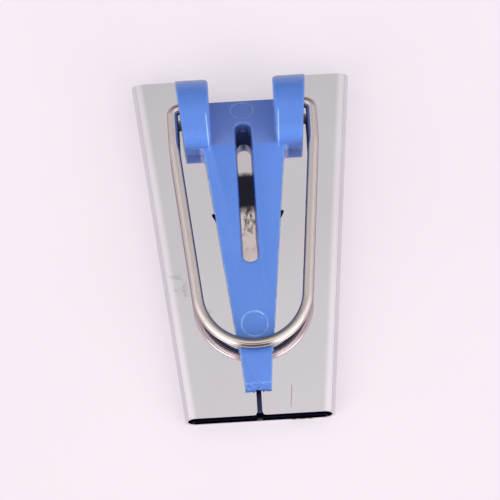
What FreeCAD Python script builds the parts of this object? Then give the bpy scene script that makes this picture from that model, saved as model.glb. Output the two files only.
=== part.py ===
import FreeCAD, Part
import math
import os
import re
import Sketcher

# Bias tape maker for 25 mm tape. A cloth strip goes in at the wide end of the metal
# shell, folds round the forming plate of the plastic guide, and comes out of the narrow
# exit as tape. The wire bail in the guide's ears is the handle that pulls the tool along.
#
# X runs across the tool, +Y from the exit to the wide entry, +Z up. The shell lies on
# z = 0 and the origin is at the middle of that footprint. Lengths are in millimetres.
# A place along the tool is its distance from the exit, and a setback is the distance
# from the entry.

SIZES = [
    # metal shell, a folded sheet
    ("shell_length", 65.0),
    ("exit_width", 27.0),
    ("entry_width", 40.7),
    ("exit_height", 4.5),
    ("entry_height", 6.7),
    ("sheet", 0.5),
    # upright part of the side between the two folds at the exit
    ("side_flat", 0.1),
    # the bottom plate is cut back between the folds at the entry
    ("recess_depth", 2.2),
    ("recess_width", 28.0),
    ("recess_slant", 2.0),
    # gap between the flanges: a slit at the exit, then a throat that widens
    ("slit_width", 0.9),
    ("slit_length", 8.0),
    ("slit_corner", 0.6),
    ("throat_corner", 0.8),
    ("throat_width", 13.8),
    ("throat_setback", 13.0),
    # locking notches in the flange edges, each with a straight rear and a slanted front
    ("notch_setback", 26.5),
    ("notch_span", 13.2),
    ("notch_flat", 0.4),
    ("notch_slope", 2.0),
    # guide: tongue, with heights above the flange face
    ("seat_gap", 0.05),
    ("web_gap", 0.1),
    ("tip_place", 5.2),
    ("tip_width", 4.7),
    ("tip_height", 2.6),
    ("tip_lean", 0.7),
    ("shoulder_place", 12.2),
    ("shoulder_width", 6.0),
    ("shoulder_step", 0.2),
    ("tongue_lap", 0.6),
    ("tongue_height", 3.2),
    # guide: forming plate under the flanges, and the ramp down to its rear edge
    ("plate_place", 1.0),
    ("plate_setback", 3.8),
    ("plate_thickness", 1.2),
    ("cloth_room", 1.25),
    ("ramp_setback", 14.2),
    ("ramp_lip", 0.2),
    # guide: lugs that lock in the notches
    ("lugs_span", 11.6),
    ("lug_gap", 0.15),
    # guide: awl slot
    ("slot_place", 27.9),
    ("slot_setback", 9.1),
    ("slot_width", 3.3),
    ("slot_draft", 0.4),
    ("slot_lip_round", 0.4),
    # guide: pivot ears
    ("ear_length", 14.7),
    ("ear_height", 6.4),
    ("ear_front_round", 2.6),
    ("ear_fall", 8.6),
    ("ear_rear_height", 0.7),
    ("ears_apart", 12.0),
    ("ear_width", 6.2),
    ("ear_taper", 1.35),
    ("ear_root_round", 1.2),
    ("ear_rear_round", 1.4),
    ("ear_inner_round", 0.5),
    ("ear_outer_round", 0.3),
    # guide: marks left by the ejector pins of the mould
    ("mark_depth", 0.12),
    ("front_mark_place", 16.2),
    ("front_mark_width", 4.7),
    ("rear_mark_setback", 6.1),
    ("rear_mark_width", 4.2),
    # wire bail, and the holes in the ears that it turns in
    ("wire", 2.0),
    ("pivot_setback", 7.1),
    ("pivot_height", 4.05),
    ("pivot_gap", 0.08),
    ("pivot_floor", 1.9),
    ("pin_end_gap", 0.3),
    ("bow_place", 12.0),
    ("bow_radius", 10.0),
    ("knee_setback", 14.0),
    ("knee_radius", 12.0),
    ("bend_radius", 1.2),
    ("bend_gap", 0.06),
    # a cut that opens a face runs this far past it
    ("past", 1.0),
]
NAMES = [alias for alias, value in SIZES]

doc = FreeCAD.newDocument("bias_tape_maker")
sheet = doc.addObject("Spreadsheet::Sheet", "sizes")
for row, (alias, value) in enumerate(SIZES, 1):
    sheet.set(f"A{row}", alias)
    sheet.set(f"B{row}", str(value))
    sheet.setAlias(f"B{row}", alias)
doc.recompute()

# Formulas that several features share.
RISE = "((entry_height - exit_height) / shell_length)"
SLOPE = f"atan({RISE})"
FOLD = "((exit_height - side_flat) / 2)"
THROAT = "(shell_length - throat_setback)"
NOTCH = "(shell_length - notch_setback)"
PLATE_REAR = "(shell_length - plate_setback)"
RAMP_TOP = "(shell_length - ramp_setback)"
EAR_FRONT = "(shell_length - ear_length)"
EAR_FLAT_END = "(shell_length - ear_fall)"
PIVOT_PLACE = "(shell_length - pivot_setback)"
KNEE_PLACE = "(shell_length - knee_setback)"
BOW_CENTRE = "(bow_place + bow_radius)"
FLANGE_RUN = "sqrt(shell_length ^ 2 + (entry_height - exit_height) ^ 2)"
PLATE_TOP = "-(sheet + cloth_room)"
PLATE_FOOT = "-(sheet + cloth_room + plate_thickness)"
WEB_HALF = "(throat_width / 2 - web_gap)"
TONGUE_HALF = "(throat_width / 2 + tongue_lap)"
TONGUE_RISE = f"((tongue_height - tip_height) / ({RAMP_TOP} - tip_place))"
RAMP_DROP = f"(tongue_height - ({PLATE_TOP} + ramp_lip))"
RAMP_TILT = f"atan({RAMP_DROP} / ({PLATE_REAR} - {RAMP_TOP}))"
EAR_DROP = "(ear_height - ear_rear_height)"
EAR_RUN = f"({FLANGE_RUN} - {EAR_FLAT_END})"
EARS_HALF = "(ears_apart / 2 + ear_width)"
EAR_TAPER = f"(ear_taper / ({FLANGE_RUN} - {EAR_FRONT}))"
PIVOT_FLOOR = "(ears_apart / 2 + pivot_floor)"
PIN_END = f"({PIVOT_FLOOR} + pin_end_gap)"
# The bend at the top of a leg starts just outside the ear's flank at the pivot.
PIVOT_FLANK = f"({EARS_HALF} - {EAR_TAPER} * ({FLANGE_RUN} - {PIVOT_PLACE}))"
LEG_HALF = f"({PIVOT_FLANK} + bend_gap + bend_radius)"


def linked(formula):
    """A formula whose names point at the sheet."""
    def link(word):
        return "sizes." + word.group() if word.group() in NAMES else word.group()
    return re.sub(r"[a-z_]+", link, str(formula))


def size(formula):
    return float(doc.sizes.evalExpression(linked(formula)))


def bind(thing, field, formula):
    thing.setExpression(field, linked(formula))


def new_body(label, raised, tilt):
    """Body whose exit end is at the exit edge of the shell, raised and tilted about X."""
    body = doc.addObject("PartDesign::Body", label)
    body.Label = label
    turn = FreeCAD.Rotation(FreeCAD.Vector(1, 0, 0), size(tilt))
    body.Placement = FreeCAD.Placement(FreeCAD.Vector(0, 0, 0), turn)
    bind(body, "Placement.Base.y", "-shell_length / 2")
    bind(body, "Placement.Base.z", raised)
    bind(body, "Placement.Rotation.Angle", tilt)
    return body


def origin_plane(body, role):
    return [plane for plane in body.Origin.OriginFeatures if plane.Role == role][0]


def new_sketch(body, name, role, lift="0"):
    """Sketch on an origin plane of the body, moved along the plane's normal."""
    sketch = body.newObject("Sketcher::SketchObject", name)
    sketch.AttachmentSupport = (origin_plane(body, role), [""])
    sketch.MapMode = "FlatFace"
    bind(sketch, "AttachmentOffset.Base.z", lift)
    doc.recompute()
    return sketch


def rule(sketch, kind, *parts):
    """Sketch constraint whose last part is a formula."""
    number = sketch.addConstraint(Sketcher.Constraint(kind, *parts[:-1], size(parts[-1])))
    bind(sketch, f"Constraints[{number}]", parts[-1])


def place(sketch, item, end, x, y):
    rule(sketch, "DistanceX", -1, 1, item, end, x)
    rule(sketch, "DistanceY", -1, 1, item, end, y)


def point(x, y):
    return FreeCAD.Vector(size(x), size(y), 0)


def add_arc(sketch, start, stop, centre, left):
    """Arc about a centre, turning left or right. Returns its number, first and last end."""
    first, last = (start, stop) if left else (stop, start)
    ring = Part.Circle(centre, FreeCAD.Vector(0, 0, 1), centre.distanceToPoint(start))
    angles = [math.atan2(end.y - centre.y, end.x - centre.x) for end in (first, last)]
    if angles[1] < angles[0]:
        angles[1] += 2 * math.pi
    item = sketch.addGeometry(Part.ArcOfCircle(ring, *angles), False)
    return (item, 1, 2) if left else (item, 2, 1)


def outline(sketch, corners):
    """Closed outline. A corner is a pair of formulas. A third entry makes the side that
    leaves it an arc: "half" for a half circle, or a radius, with a minus to turn right."""
    ends = []
    for here, there in zip(corners, corners[1:] + corners[:1]):
        start, stop = point(*here[:2]), point(*there[:2])
        if len(here) == 2:
            item = sketch.addGeometry(Part.LineSegment(start, stop), False)
            ends.append((item, 1, 2))
            continue
        middle, chord = (start + stop) / 2, stop - start
        if here[2] == "half":
            ends.append(add_arc(sketch, start, stop, middle, True))
            continue
        radius = size(here[2])
        side = FreeCAD.Vector(-chord.y, chord.x, 0).normalize()
        rise = math.sqrt(max(radius ** 2 - chord.Length ** 2 / 4, 0))
        centre = middle + side * math.copysign(rise, radius)
        ends.append(add_arc(sketch, start, stop, centre, radius > 0))
    for number, (corner, (item, first, last)) in enumerate(zip(corners, ends)):
        following = ends[(number + 1) % len(ends)]
        sketch.addConstraint(
            Sketcher.Constraint("Coincident", item, last, following[0], following[1]))
        place(sketch, item, first, *corner[:2])
        if len(corner) == 3 and corner[2] == "half":
            upright = corner[0] == corners[(number + 1) % len(corners)][0]
            kind, formula = ("DistanceX", corner[0]) if upright else ("DistanceY", corner[1])
            rule(sketch, kind, -1, 1, item, 3, formula)
        elif len(corner) == 3:
            rule(sketch, "Radius", item, corner[2].lstrip("-"))


def mirrored(corners):
    return [("-(" + corner[0] + ")",) + corner[1:] for corner in reversed(corners)]


def circle(sketch, x, y, diameter):
    ring = Part.Circle(point(x, y), FreeCAD.Vector(0, 0, 1), size(diameter) / 2)
    item = sketch.addGeometry(ring, False)
    place(sketch, item, 3, x, y)
    rule(sketch, "Diameter", item, diameter)


def check(made):
    bad = [state for state in made.State if state in ("Invalid", "Error")]
    if bad or made.Shape.isNull() or not made.Shape.isValid():
        raise RuntimeError(f"{made.Name} failed: {made.State}")


def feature(body, kind, name, sketch, formulas=None, **values):
    """Feature on a sketch. It has to add to the body, or to cut from it."""
    before = body.Shape.Volume if body.Tip else 0.0
    made = body.newObject("PartDesign::" + kind, name)
    made.Profile = sketch
    for key, value in values.items():
        setattr(made, key, value)
    for key, formula in (formulas or {}).items():
        setattr(made, key, size(formula))
        bind(made, key, formula)
    body.Tip = made
    doc.recompute()
    check(made)
    change = made.Shape.Volume - before
    cuts = kind in ("Pocket", "SubtractiveLoft")
    if (change >= 0) if cuts else (change <= 0):
        raise RuntimeError(f"{name} changed the volume by {change:.4f}")
    return made


def loft(body, kind, name, first, second):
    return feature(body, kind, name, first, Sections=[(second, [""])], Ruled=True)


def round_edges(body, name, radius, wanted):
    """Round the edges whose middle and ends pass a test."""
    base = body.Tip
    names = []
    for number, edge in enumerate(base.Shape.Edges, 1):
        middle = edge.valueAt((edge.FirstParameter + edge.LastParameter) / 2)
        if wanted(middle, [vertex.Point for vertex in edge.Vertexes]):
            names.append(f"Edge{number}")
    if not names:
        raise RuntimeError(f"{name} found no edge")
    made = body.newObject("PartDesign::Fillet", name)
    made.Base = (base, names)
    made.Radius = size(radius)
    bind(made, "Radius", radius)
    body.Tip = made
    doc.recompute()
    check(made)


def near(a, b, within=0.02):
    return abs(a - b) < within


def long_round(sketch, half, foot, top):
    """Flat shape across X with half-round ends, from foot to top."""
    flat = f"({half} - (({top}) - ({foot})) / 2)"
    outline(sketch, [(f"-{flat}", foot), (flat, foot, "half"),
                     (flat, top), (f"-{flat}", top, "half")])


# Metal shell. The sheet is bent round both sides to one radius, and the form grows from
# the exit to the entry.

shell = new_body("metal_shell", "0", "0")

footprint = new_sketch(shell, "footprint", "XY_Plane")
footprint_side = [("exit_width / 2", "0"), ("entry_width / 2", "shell_length")]
outline(footprint, footprint_side + mirrored(footprint_side))
feature(shell, "Pad", "wedge", footprint, {"Length": "entry_height"})

slope_line = new_sketch(shell, "flange_slope_line", "YZ_Plane")
outline(slope_line, [("-past", f"exit_height - past * {RISE}"),
                     ("shell_length + past", f"entry_height + past * {RISE}"),
                     ("shell_length + past", "entry_height + 2 * past"),
                     ("-past", "entry_height + 2 * past")])
feature(shell, "Pocket", "flange_slope", slope_line, {"Length": "entry_width + 2 * past"},
        SideType="Symmetric")

round_edges(shell, "side_folds", FOLD, lambda middle, ends:
            near(sum(abs(end.y - middle.y) for end in ends), size("shell_length")))

folded = shell.Tip
ends_open = [f"Face{number}" for number, face in enumerate(folded.Shape.Faces, 1)
             if near(face.BoundBox.YLength, 0)]
hollow = shell.newObject("PartDesign::Thickness", "sheet_thickness")
hollow.Base = (folded, ends_open)
hollow.Reversed = True
bind(hollow, "Value", "sheet")
shell.Tip = hollow
doc.recompute()
check(hollow)

# The gap between the flanges is cut upward from a plane inside the hollow.
MID_HEIGHT = "exit_height / 2"
throat = new_sketch(shell, "throat_outline", "XY_Plane", MID_HEIGHT)
throat_side = [("slit_width / 2", "-past"), ("slit_width / 2", "slit_length"),
               ("throat_width / 2", THROAT),
               ("throat_width / 2", "shell_length + past")]
outline(throat, throat_side + mirrored(throat_side))
feature(shell, "Pocket", "throat", throat, Type="ThroughAll", Reversed=True)

notches = new_sketch(shell, "notch_outlines", "XY_Plane", MID_HEIGHT)
notch = [("slit_width / 2", f"{NOTCH} - notch_flat"
                            " - notch_slope * (notch_span - slit_width) / 2"),
         ("notch_span / 2", f"{NOTCH} - notch_flat"),
         ("notch_span / 2", NOTCH), ("slit_width / 2", NOTCH)]
outline(notches, notch)
outline(notches, mirrored(notch))
feature(shell, "Pocket", "locking_notches", notches, Type="ThroughAll", Reversed=True)

# The recess in the bottom plate is cut downward from the same plane.
recess = new_sketch(shell, "entry_recess_outline", "XY_Plane", MID_HEIGHT)
recess_side = [("recess_width / 2", "shell_length - recess_depth"),
               ("recess_width / 2 + recess_slant", "shell_length"),
               ("recess_width / 2 + recess_slant", "shell_length + past")]
outline(recess, recess_side + mirrored(recess_side))
feature(shell, "Pocket", "entry_recess", recess, Type="ThroughAll")

round_edges(shell, "slit_corners", "slit_corner", lambda middle, ends: all(
    near(abs(end.x), size("slit_width / 2")) and near(end.y, 0) for end in ends))
round_edges(shell, "throat_corners", "throat_corner", lambda middle, ends: all(
    near(abs(end.x), size("throat_width / 2")) and near(end.y, size("shell_length"))
    for end in ends))

# Plastic guide. It is built level, with z = 0 at the top face of the flanges, and then
# tilted with them.

guide = new_body("folding_guide", "exit_height", SLOPE)


def plate_section(name, place_along):
    """Section of the plate, which leaves the cloth its room inside the shell's sides."""
    sketch = new_sketch(guide, name, "XZ_Plane", f"-({place_along})")
    shell_half = f"(exit_width + (entry_width - exit_width) * {place_along} / shell_length) / 2"
    long_round(sketch, f"({shell_half} - sheet - cloth_room)", PLATE_FOOT, PLATE_TOP)
    return sketch


loft(guide, "AdditiveLoft", "forming_plate", plate_section("plate_front", "plate_place"),
     plate_section("plate_back", PLATE_REAR))

# The web fills the throat and joins the plate to the tongue.
web = new_sketch(guide, "web_outline", "XY_Plane", f"{PLATE_TOP} - plate_thickness / 2")
web_side = [("slit_width / 2 - web_gap", "tip_place + past"),
            ("slit_width / 2 - web_gap", "slit_length"),
            (WEB_HALF, THROAT), (WEB_HALF, PLATE_REAR)]
outline(web, web_side + mirrored(web_side))
feature(guide, "Pad", "web", web,
        {"Length": f"tongue_height - ({PLATE_TOP} - plate_thickness / 2)"})

tongue = new_sketch(guide, "tongue_outline", "XY_Plane", "seat_gap")
tongue_side = [("tip_width / 2", "tip_place - tip_lean"),
               ("shoulder_width / 2", "shoulder_place"),
               ("shoulder_width / 2 + shoulder_step", "shoulder_place + shoulder_step"),
               (TONGUE_HALF, RAMP_TOP), (TONGUE_HALF, f"{RAMP_TOP} + past")]
outline(tongue, tongue_side + mirrored(tongue_side))
feature(guide, "Pad", "tongue", tongue, {"Length": "tongue_height - seat_gap"})

lugs = new_sketch(guide, "lug_outlines", "XY_Plane", "-sheet")


def lug_place(x):
    """Place along the tool where the slanted side of a lug has this x."""
    return (f"{NOTCH} - notch_flat - notch_slope"
            f" * (notch_span / 2 - 2 * lug_gap - ({x}))")


LUG_INSIDE = "(slot_width / 2 + slit_width / 2)"
lug = [(LUG_INSIDE, lug_place(LUG_INSIDE)), ("lugs_span / 2", lug_place("lugs_span / 2")),
       ("lugs_span / 2", f"{NOTCH} - lug_gap"), (LUG_INSIDE, f"{NOTCH} - lug_gap")]
outline(lugs, lug)
outline(lugs, mirrored(lug))
feature(guide, "Pad", "locking_lugs", lugs, {"Length": "sheet + tip_height / 2"})

# The tongue's top falls towards its tip, and the end of the tip leans back.
fall = new_sketch(guide, "tongue_top_line", "YZ_Plane")
outline(fall, [("tip_place - tip_lean", "seat_gap"), ("tip_place", "tip_height"),
               (RAMP_TOP, "tongue_height"), (RAMP_TOP, "tongue_height + past"),
               ("tip_place - tip_lean - past", "tongue_height + past"),
               ("tip_place - tip_lean - past", "seat_gap")])
feature(guide, "Pocket", "tongue_top", fall, {"Length": f"2 * ({TONGUE_HALF} + past)"},
        SideType="Symmetric")

# Between the ears the top slopes down to the rear edge of the plate.
ramp = new_sketch(guide, "ramp_line", "YZ_Plane")
outline(ramp, [(RAMP_TOP, "tongue_height"), (PLATE_REAR, f"{PLATE_TOP} + ramp_lip"),
               (f"{PLATE_REAR} + past", f"{PLATE_TOP} + ramp_lip"),
               (f"{PLATE_REAR} + past", "tongue_height + past"),
               (RAMP_TOP, "tongue_height + past")])
feature(guide, "Pocket", "ramp", ramp, {"Length": "ears_apart"}, SideType="Symmetric")

# Pivot ear on one side: side view, outer side, and the hole for the bail's pin.
ear_view = new_sketch(guide, "ear_side_view", "YZ_Plane", "ears_apart / 2")
outline(ear_view, [
    (EAR_FRONT, "ear_height - ear_front_round", "-ear_front_round"),
    (f"{EAR_FRONT} + ear_front_round", "ear_height"),
    (EAR_FLAT_END, "ear_height", f"-({EAR_RUN} ^ 2 + {EAR_DROP} ^ 2) / (2 * {EAR_DROP})"),
    (FLANGE_RUN, "ear_rear_height"), (FLANGE_RUN, "seat_gap"), (EAR_FRONT, "seat_gap")])
ear = feature(guide, "Pad", "ear", ear_view,
              {"Length": "ear_width + past"})

flank = new_sketch(guide, "ear_flank_line", "XY_Plane", "ear_height + past")
outline(flank, [(f"{EARS_HALF} - ear_taper", f"{EAR_FRONT} - past"),
                (f"{EARS_HALF} - ear_taper", EAR_FRONT), (EARS_HALF, FLANGE_RUN),
                (EARS_HALF, f"{FLANGE_RUN} + past"),
                (f"{EARS_HALF} + 2 * past", f"{FLANGE_RUN} + past"),
                (f"{EARS_HALF} + 2 * past", f"{EAR_FRONT} - past")])
ear_flank = feature(guide, "Pocket", "ear_flank", flank, {"Length": "ear_height + past"})

pivot = new_sketch(guide, "pivot_circle", "YZ_Plane", f"{EARS_HALF} + past")
circle(pivot, PIVOT_PLACE, "pivot_height", "wire + 2 * pivot_gap")
pivot_hole = feature(guide, "Pocket", "pivot_hole", pivot, {
    "Length": f"{EARS_HALF} + past - {PIVOT_FLOOR}"})

other_ear = guide.newObject("PartDesign::Mirrored", "other_ear")
other_ear.Originals = [ear, ear_flank, pivot_hole]
other_ear.MirrorPlane = (origin_plane(guide, "YZ_Plane"), [""])
guide.Tip = other_ear
doc.recompute()
check(other_ear)


def slot_section(name, lift, inset):
    sketch = new_sketch(guide, name, "XY_Plane", lift)
    half = f"(slot_width / 2 - {inset})"
    front = "slot_place + slot_width / 2"
    rear = "shell_length - slot_setback - slot_width / 2"
    outline(sketch, [(half, front), (half, rear, "half"),
                     (f"-{half}", rear), (f"-{half}", front, "half")])
    return sketch


loft(guide, "SubtractiveLoft", "awl_slot",
     slot_section("slot_mouth", "tongue_height + past", "0"),
     slot_section("slot_foot", f"{PLATE_FOOT} - past", "slot_draft"))

front_mark = new_sketch(guide, "front_mark_circle", "XY_Plane", "tongue_height + past")
circle(front_mark, "0", "front_mark_place", "front_mark_width")
feature(guide, "Pocket", "front_pin_mark", front_mark, {
    "Length": f"past + mark_depth + ({RAMP_TOP} - front_mark_place) * {TONGUE_RISE}"})

rear_mark = new_sketch(guide, "rear_mark_circle", "XY_Plane", "tongue_height")
rear_mark.AttachmentOffset = FreeCAD.Placement(
    FreeCAD.Vector(0, size(RAMP_TOP), size("tongue_height")),
    FreeCAD.Rotation(FreeCAD.Vector(1, 0, 0), -size(RAMP_TILT)))
bind(rear_mark, "AttachmentOffset.Base.y", RAMP_TOP)
bind(rear_mark, "AttachmentOffset.Rotation.Angle", f"-{RAMP_TILT}")
circle(rear_mark, "0", f"(ramp_setback - rear_mark_setback) / cos({RAMP_TILT})",
       "rear_mark_width")
feature(guide, "Pocket", "rear_pin_mark", rear_mark, {"Length": "mark_depth"})

# Edges of the moulding. Each test works on both sides alike.


def tongue_half(y):
    first = size("shoulder_place + shoulder_step")
    share = (y - first) / (size(RAMP_TOP) - first)
    narrow = size("shoulder_width / 2 + shoulder_step")
    return narrow + (size(TONGUE_HALF) - narrow) * share


def ear_half(y):
    return size(EARS_HALF) - size(EAR_TAPER) * (size(FLANGE_RUN) - y)


def top_height(y):
    """Height of the tongue's top, or of the ramp."""
    beyond = y - size(RAMP_TOP)
    return size("tongue_height") + beyond * (
        size(TONGUE_RISE) if beyond < 0 else -math.tan(math.radians(size(RAMP_TILT))))


def from_pivot(spot):
    return math.hypot(spot.y - size(PIVOT_PLACE), spot.z - size("pivot_height"))


round_edges(guide, "ear_roots", "ear_root_round", lambda middle, ends: all(
    near(end.y, size(EAR_FRONT)) and near(abs(end.x), tongue_half(end.y))
    for end in ends))
round_edges(guide, "ear_rear_corners", "ear_rear_round", lambda middle, ends: all(
    near(abs(end.x), size("ears_apart / 2")) and near(end.y, size(FLANGE_RUN))
    for end in ends))
round_edges(guide, "ear_inner_edges", "ear_inner_round", lambda middle, ends: all(
    near(abs(end.x), size("ears_apart / 2")) for end in ends + [middle])
    and middle.z > size("tongue_height") + 0.05)
round_edges(guide, "ear_outer_edges", "ear_outer_round", lambda middle, ends: all(
    near(abs(end.x), ear_half(end.y)) for end in ends + [middle])
    and middle.z > size("ear_outer_round") and from_pivot(middle) > size("wire"))
round_edges(guide, "slot_lip", "slot_lip_round", lambda middle, ends: all(
    abs(end.x) < size("slot_width / 2") and near(end.z, top_height(end.y))
    and size("slot_place") < end.y < size("shell_length - slot_setback")
    for end in ends + [middle]))

# Wire bail, in the same tilted frame, at the height of the pivot.

bail = new_body("wire_bail", "exit_height", SLOPE)
LEG = size(LEG_HALF)
BEND = size("bend_radius")
PIVOT = size(PIVOT_PLACE)
KNEE = size(KNEE_PLACE)
KNEE_ROUND = size("knee_radius")
BOW = size("bow_radius")

# The straight part of a leg touches the bow and the knee, so it leans by this angle.
bow_centre = FreeCAD.Vector(0, size(BOW_CENTRE), 0)
knee_centre = FreeCAD.Vector(LEG - KNEE_ROUND, KNEE, 0)
between = knee_centre - bow_centre
toward = math.atan2(between.y, between.x)
touch = toward - math.acos((BOW - KNEE_ROUND) / between.Length)
normal = FreeCAD.Vector(math.cos(touch), math.sin(touch), 0)

path = new_sketch(bail, "bail_path", "XY_Plane", "pivot_height")


def mirror_point(spot, side):
    return FreeCAD.Vector(side * spot.x, spot.y, 0)


def leg_path(side):
    """Pin, bend, leg, knee and lower leg on one side. Returns the lower leg."""
    def at(x, y):
        return FreeCAD.Vector(side * x, y, 0)
    left = side > 0
    pin = path.addGeometry(Part.LineSegment(at(size(PIN_END), PIVOT), at(LEG - BEND, PIVOT)))
    bend = add_arc(path, at(LEG - BEND, PIVOT), at(LEG, PIVOT - BEND),
                   at(LEG - BEND, PIVOT - BEND), not left)
    leg = path.addGeometry(Part.LineSegment(at(LEG, PIVOT - BEND), at(LEG, KNEE)))
    low = knee_centre + normal * KNEE_ROUND
    knee = add_arc(path, at(LEG, KNEE), mirror_point(low, side),
                   mirror_point(knee_centre, side), not left)
    foot = bow_centre + normal * BOW
    lower = path.addGeometry(
        Part.LineSegment(mirror_point(low, side), mirror_point(foot, side)))
    sign = "" if left else "-"
    place(path, pin, 1, f"{sign}{PIN_END}", PIVOT_PLACE)
    rule(path, "DistanceY", -1, 1, pin, 2, PIVOT_PLACE)
    place(path, leg, 2, f"{sign}{LEG_HALF}", KNEE_PLACE)
    rule(path, "DistanceX", -1, 1, leg, 1, f"{sign}{LEG_HALF}")
    rule(path, "Radius", bend[0], "bend_radius")
    rule(path, "Radius", knee[0], "knee_radius")
    for pair in ((pin, 2, bend[0], bend[1]), (bend[0], bend[2], leg, 1),
                 (leg, 2, knee[0], knee[1]), (knee[0], knee[2], lower, 1)):
        path.addConstraint(Sketcher.Constraint("Tangent", *pair))
    return lower, mirror_point(foot, side)


right_leg, right_foot = leg_path(1)
left_leg, left_foot = leg_path(-1)
bow, bow_first, bow_last = add_arc(path, right_foot, left_foot, bow_centre, False)
place(path, bow, 3, "0", BOW_CENTRE)
rule(path, "Radius", bow, "bow_radius")
path.addConstraint(Sketcher.Constraint("Tangent", right_leg, 2, bow, bow_first))
path.addConstraint(Sketcher.Constraint("Tangent", left_leg, 2, bow, bow_last))

section = new_sketch(bail, "wire_section", "YZ_Plane", PIN_END)
circle(section, PIVOT_PLACE, "pivot_height", "wire")
feature(bail, "AdditivePipe", "bent_wire", section, Spine=(path, []))

doc.recompute()
for thing in doc.Objects:
    if "Invalid" in thing.State or "Error" in thing.State:
        raise RuntimeError(f"{thing.Name} failed: {thing.State}")
for sketch in doc.findObjects("Sketcher::SketchObject"):
    if not sketch.FullyConstrained:
        print("not fully constrained:", sketch.Name)

os.makedirs("parts", exist_ok=True)
for body in (shell, guide, bail):
    check(body)
    if len(body.Shape.Solids) != 1:
        raise RuntimeError(f"{body.Label} has {len(body.Shape.Solids)} solids")
    body.Shape.exportStep(f"parts/{body.Label}.step")
    box = body.Shape.BoundBox
    print(body.Label, f"{body.Shape.Volume:.1f} mm3",
          f"x {box.XMin:.2f} {box.XMax:.2f} y {box.YMin:.2f} {box.YMax:.2f}"
          f" z {box.ZMin:.2f} {box.ZMax:.2f}")
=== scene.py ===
# %% [markdown]
# # A bias tape maker
# This small sewing tool is a folded, plated sheet with a blue plastic guide seated in its
# top gap and a wire handle. The lesson starts with the frame: the solid model is loaded in
# metres, and each piece made here goes where that model says. The outer box of the solid
# model's shell gives the sheet's overall sizes.

# %% Load the frame
import bpy
import bmesh
import math
from mathutils import Matrix, Vector, noise


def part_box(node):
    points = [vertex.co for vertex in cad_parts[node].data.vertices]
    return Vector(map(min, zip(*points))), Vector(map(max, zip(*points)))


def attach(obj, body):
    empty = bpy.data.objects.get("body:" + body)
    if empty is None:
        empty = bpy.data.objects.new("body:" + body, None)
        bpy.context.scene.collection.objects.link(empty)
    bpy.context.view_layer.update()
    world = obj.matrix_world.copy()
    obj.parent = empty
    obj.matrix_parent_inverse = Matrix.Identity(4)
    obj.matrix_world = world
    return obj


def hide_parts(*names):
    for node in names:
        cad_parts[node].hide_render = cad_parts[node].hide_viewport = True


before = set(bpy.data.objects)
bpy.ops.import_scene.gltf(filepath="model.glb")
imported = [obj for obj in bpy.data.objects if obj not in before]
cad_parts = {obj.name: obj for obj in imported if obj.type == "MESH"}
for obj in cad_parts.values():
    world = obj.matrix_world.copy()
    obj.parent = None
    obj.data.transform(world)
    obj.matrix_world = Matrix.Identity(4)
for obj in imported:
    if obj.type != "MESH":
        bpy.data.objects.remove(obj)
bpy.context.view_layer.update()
MM = 0.001

# %% [markdown]
# ## Sizes
# The shell tapers: it is narrow and low at the exit, and wide and tall at the entry. Its
# overall sizes come from the solid model's box, and the rest are the sheet's own, in
# millimetres. A place along the tool is its distance from the exit, and a helper gives any
# size that changes evenly between the two ends.

# %% Sizes of the shell
low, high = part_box("metal_shell")
LENGTH = (high[1] - low[1]) / MM
ENTRY_HALF = high[0] / MM
ENTRY_HEIGHT = high[2] / MM
EXIT_HALF = 13.5
EXIT_HEIGHT = 4.5
SHEET = 0.5
FOLD = 2.2
TILT = math.atan((ENTRY_HEIGHT - EXIT_HEIGHT) / LENGTH)


def grows(at_exit, at_entry, place):
    """A size that changes evenly along the tool."""
    return at_exit + (at_entry - at_exit) * place / LENGTH


print(f"shell {LENGTH:.1f} mm long, {2 * ENTRY_HALF:.1f} mm wide at the entry,",
      f"flanges rise {math.degrees(TILT):.2f} degrees")

# %% [markdown]
# ## Helpers for materials
# Every finish is a node tree, because real plating and plastic are never one flat colour.
# Small helpers start a tree and add what each finish needs: a pattern on the object's own
# coordinates, a ramp, a mix, a sum and a bump. Object coordinates stay on the piece when
# it swings.

# %% Node helpers
def new_finish(name):
    finish = bpy.data.materials.new(name)
    finish.use_nodes = True
    tree = finish.node_tree
    return finish, tree, tree.nodes["Principled BSDF"]


def feed(tree, socket, value):
    """Link an output to a socket, or set the socket to a number or a colour."""
    if isinstance(value, bpy.types.NodeSocket):
        tree.links.new(value, socket)
    else:
        socket.default_value = value


def pattern(tree, kind, stretch=(1, 1, 1), turn=0.0, **settings):
    """A texture on Object coordinates. stretch gives its density along each axis."""
    place = tree.nodes.new("ShaderNodeTexCoord")
    mapping = tree.nodes.new("ShaderNodeMapping")
    mapping.inputs["Scale"].default_value = stretch
    mapping.inputs["Rotation"].default_value = (0, 0, turn)
    texture = tree.nodes.new("ShaderNodeTex" + kind)
    for key, value in settings.items():
        texture.inputs[key].default_value = value
    tree.links.new(place.outputs["Object"], mapping.inputs["Vector"])
    tree.links.new(mapping.outputs["Vector"], texture.inputs["Vector"])
    return texture.outputs["Distance" if kind == "Voronoi" else "Fac"]


def ramp(tree, source, *stops):
    """Colour ramp through (position, grey or colour) stops."""
    node = tree.nodes.new("ShaderNodeValToRGB")
    while len(node.color_ramp.elements) < len(stops):
        node.color_ramp.elements.new(0.5)
    for element, (position, colour) in zip(node.color_ramp.elements, stops):
        element.position = position
        element.color = (*colour, 1) if isinstance(colour, tuple) else (colour,) * 3 + (1,)
    tree.links.new(source, node.inputs["Fac"])
    return node.outputs["Color"]


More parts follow.
